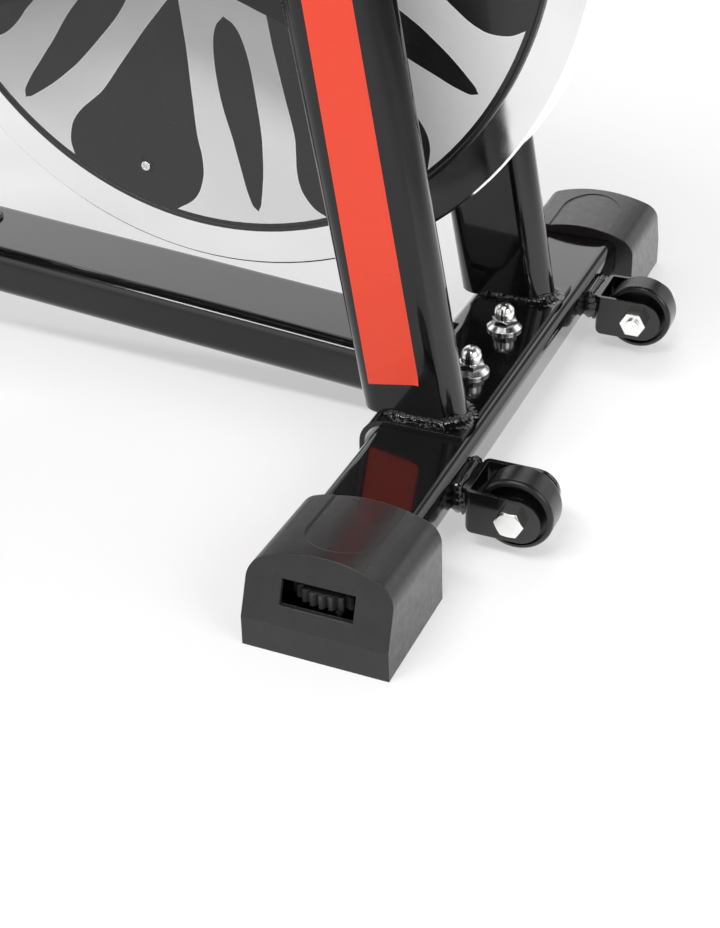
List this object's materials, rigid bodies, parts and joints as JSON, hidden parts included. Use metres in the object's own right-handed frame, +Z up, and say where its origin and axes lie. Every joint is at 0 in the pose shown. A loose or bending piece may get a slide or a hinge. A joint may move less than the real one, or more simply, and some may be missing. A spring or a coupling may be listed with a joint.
{
  "type": "exercise bike",
  "caption": "Indoor cycling bike with a front flywheel under a leaning fork, felt brake, belt drive, sliding saddle and handlebar, and stabiliser feet with thumbwheel levellers.",
  "frame": {"origin": "bottom centre of the bike's box, on the floor", "axes": "+X forwards towards the flywheel end, +Y to the rider's left, +Z up"},
  "size_m": [1.0242, 0.586, 1.1258],
  "materials": {
    "black_coat": "gloss black powder coat over steel",
    "zinc": "bright zinc-plated steel",
    "cap_plastic": "fine-grained dark grey moulded plastic",
    "wheel_plastic": "matt black moulded plastic",
    "level_plastic": "satin black moulded plastic",
    "foot_rubber": "black rubber pad on a zinc-plated stud",
    "wheel_iron": "polished and chromed rim, painted web",
    "cover_black": "gloss black disc with a printed spoke pattern",
    "steel": "turned and ground steel",
    "guard_black": "satin black moulded guard",
    "belt_rubber": "ribbed black rubber",
    "pulley_alu": "turned aluminium",
    "bush_plastic": "black nylon",
    "crank_chrome": "chromed forged steel",
    "pedal_plastic": "black moulded plastic",
    "post_chrome": "chromed steel tube",
    "pad_felt": "pressed wool felt",
    "saddle_shell": "black moulded shell",
    "saddle_leather": "black leatherette over foam",
    "grip_rubber": "textured black rubber",
    "console_plastic": "black moulded case with a display window",
    "knob_plastic": "black moulded knob on a steel screw"
  },
  "bodies": {
    "frame": {"front_stabiliser": "black_coat", "rear_stabiliser": "black_coat", "stabiliser_plates": "black_coat", "plate_fasteners": "zinc", "base_beam": "black_coat", "fork_legs": "black_coat", "fork_crown": "black_coat", "head_tube": "black_coat", "main_tube": "black_coat", "seat_tube": "black_coat", "crank_shell": "black_coat", "dropout_plates": "black_coat", "post_bushes": "bush_plastic", "wheel_brackets": "black_coat", "wheel_bolts": "zinc", "flywheel_axle": "steel", "guard_outer": "guard_black", "guard_inner": "guard_black", "drive_belt": "belt_rubber", "end_cap_front_left": "cap_plastic", "end_cap_front_right": "cap_plastic", "end_cap_rear_left": "cap_plastic", "end_cap_rear_right": "cap_plastic"},
    "flywheel_group": {"flywheel": "wheel_iron", "flywheel_covers": "cover_black", "flywheel_screws": "zinc", "flywheel_bearings": "steel", "flywheel_pulley": "pulley_alu"},
    "crank_group": {"crank_axle": "steel", "crank_arm_left": "crank_chrome", "crank_arm_right": "crank_chrome", "crank_pulley": "pulley_alu"},
    "left_pedal": {"pedal_left": "pedal_plastic"},
    "right_pedal": {"pedal_right": "pedal_plastic"},
    "seat_mast": {"seat_post": "post_chrome"},
    "saddle_group": {"seat_slider": "post_chrome", "saddle_frame": "steel", "saddle_base": "saddle_shell", "saddle_pad": "saddle_leather"},
    "handlebar_group": {"handlebar_post": "post_chrome", "handlebar": "black_coat", "handlebar_grips": "grip_rubber", "console": "console_plastic"},
    "brake_plunger": {"brake_sleeve": "steel"},
    "brake_screw": {"brake_rod": "steel", "brake_knob": "knob_plastic"},
    "brake_shoe": {"brake_pad": "pad_felt"},
    "left_transport_wheel": {"transport_wheel_left": "wheel_plastic"},
    "right_transport_wheel": {"transport_wheel_right": "wheel_plastic"},
    "seat_height_clamp": {"seat_height_knob": "knob_plastic"},
    "seat_slide_clamp": {"seat_slide_knob": "knob_plastic"},
    "handlebar_clamp": {"handlebar_knob": "knob_plastic"},
    "leveller_wheel_front_left": {"level_wheel_front_left": "level_plastic"},
    "leveller_foot_front_left": {"level_foot_front_left": "foot_rubber"},
    "leveller_wheel_front_right": {"level_wheel_front_right": "level_plastic"},
    "leveller_foot_front_right": {"level_foot_front_right": "foot_rubber"},
    "leveller_wheel_rear_left": {"level_wheel_rear_left": "level_plastic"},
    "leveller_foot_rear_left": {"level_foot_rear_left": "foot_rubber"},
    "leveller_wheel_rear_right": {"level_wheel_rear_right": "level_plastic"},
    "leveller_foot_rear_right": {"level_foot_rear_right": "foot_rubber"}
  },
  "joints": [
    {"name": "flywheel_spin", "type": "hinge", "parent": "frame", "child": "flywheel_group", "pos_m": [0.2248, 0, 0.363], "axis": [0, 1, 0], "continuous": true},
    {"name": "crank_spin", "type": "hinge", "parent": "frame", "child": "crank_group", "pos_m": [-0.1052, 0, 0.345], "axis": [0, 1, 0], "continuous": true},
    {"name": "left_pedal_spin", "type": "hinge", "parent": "crank_group", "child": "left_pedal", "pos_m": [-0.2553, 0.142, 0.26519], "axis": [0, 1, 0], "continuous": true},
    {"name": "right_pedal_spin", "type": "hinge", "parent": "crank_group", "child": "right_pedal", "pos_m": [0.0449, -0.142, 0.42481], "axis": [0, 1, 0], "continuous": true},
    {"name": "seat_height", "type": "slide", "parent": "frame", "child": "seat_mast", "axis": [-0.2924, 0, 0.9563], "range_m": [-0.08, 0.08]},
    {"name": "seat_fore_aft", "type": "slide", "parent": "seat_mast", "child": "saddle_group", "axis": [1, 0, 0], "range_m": [-0.035, 0.035]},
    {"name": "handlebar_height", "type": "slide", "parent": "frame", "child": "handlebar_group", "axis": [-0.1771, 0, 0.9842], "range_m": [-0.02, 0.08]},
    {"name": "brake_push", "type": "slide", "parent": "frame", "child": "brake_plunger", "axis": [0.2079, 0, -0.9781], "range_m": [0, 0.003], "stiffness_N_per_m": 2000, "springref_m": -0.005},
    {"name": "brake_turn", "type": "hinge", "parent": "brake_plunger", "child": "brake_screw", "pos_m": [0.15887, 0, 0.67317], "axis": [0.2079, 0, -0.9781], "range_deg": [0, 720]},
    {"name": "brake_press", "type": "slide", "parent": "brake_plunger", "child": "brake_shoe", "axis": [0.2079, 0, -0.9781], "range_m": [0, 0.003]},
    {"name": "left_transport_wheel_spin", "type": "hinge", "parent": "frame", "child": "left_transport_wheel", "pos_m": [0.4871, 0.1412, 0.0315], "axis": [0, 1, 0], "continuous": true},
    {"name": "right_transport_wheel_spin", "type": "hinge", "parent": "frame", "child": "right_transport_wheel", "pos_m": [0.4871, -0.1412, 0.0315], "axis": [0, 1, 0], "continuous": true},
    {"name": "leveller_turn_front_left", "type": "hinge", "parent": "frame", "child": "leveller_wheel_front_left", "pos_m": [0.4148, 0.254, 0.0355], "axis": [0, 0, 1], "range_deg": [0, 2400]},
    {"name": "leveller_lift_front_left", "type": "slide", "parent": "frame", "child": "leveller_foot_front_left", "axis": [0, 0, -1], "range_m": [0, 0.01]},
    {"name": "leveller_turn_front_right", "type": "hinge", "parent": "frame", "child": "leveller_wheel_front_right", "pos_m": [0.4148, -0.254, 0.0355], "axis": [0, 0, 1], "range_deg": [0, 2400]},
    {"name": "leveller_lift_front_right", "type": "slide", "parent": "frame", "child": "leveller_foot_front_right", "axis": [0, 0, -1], "range_m": [0, 0.01]},
    {"name": "leveller_turn_rear_left", "type": "hinge", "parent": "frame", "child": "leveller_wheel_rear_left", "pos_m": [-0.4652, 0.254, 0.0355], "axis": [0, 0, 1], "range_deg": [0, 2400]},
    {"name": "leveller_lift_rear_left", "type": "slide", "parent": "frame", "child": "leveller_foot_rear_left", "axis": [0, 0, -1], "range_m": [0, 0.01]},
    {"name": "leveller_turn_rear_right", "type": "hinge", "parent": "frame", "child": "leveller_wheel_rear_right", "pos_m": [-0.4652, -0.254, 0.0355], "axis": [0, 0, 1], "range_deg": [0, 2400]},
    {"name": "leveller_lift_rear_right", "type": "slide", "parent": "frame", "child": "leveller_foot_rear_right", "axis": [0, 0, -1], "range_m": [0, 0.01]},
    {"name": "seat_height_clamp_turn", "type": "hinge", "parent": "frame", "child": "seat_height_clamp", "pos_m": [-0.19291, 0, 0.63189], "axis": [-0.9563, 0, -0.2924], "range_deg": [0, 360]},
    {"name": "seat_slide_clamp_turn", "type": "hinge", "parent": "seat_mast", "child": "seat_slide_clamp", "pos_m": [-0.24554, 0, 0.82133], "axis": [0, -1, 0], "range_deg": [0, 360]},
    {"name": "handlebar_clamp_turn", "type": "hinge", "parent": "frame", "child": "handlebar_clamp", "pos_m": [0.26058, 0, 0.82034], "axis": [0.9842, 0, 0.1771], "range_deg": [0, 360]}
  ],
  "couplings": [
    {"joint": "crank_spin", "follows": "flywheel_spin", "ratio": 0.3},
    {"joint": "brake_press", "follows": "brake_turn", "m_per_rad": 0.00023873},
    {"joint": "leveller_lift_front_left", "follows": "leveller_turn_front_left", "m_per_rad": 0.00023873},
    {"joint": "leveller_lift_front_right", "follows": "leveller_turn_front_right", "m_per_rad": 0.00023873},
    {"joint": "leveller_lift_rear_left", "follows": "leveller_turn_rear_left", "m_per_rad": 0.00023873},
    {"joint": "leveller_lift_rear_right", "follows": "leveller_turn_rear_right", "m_per_rad": 0.00023873}
  ]
}
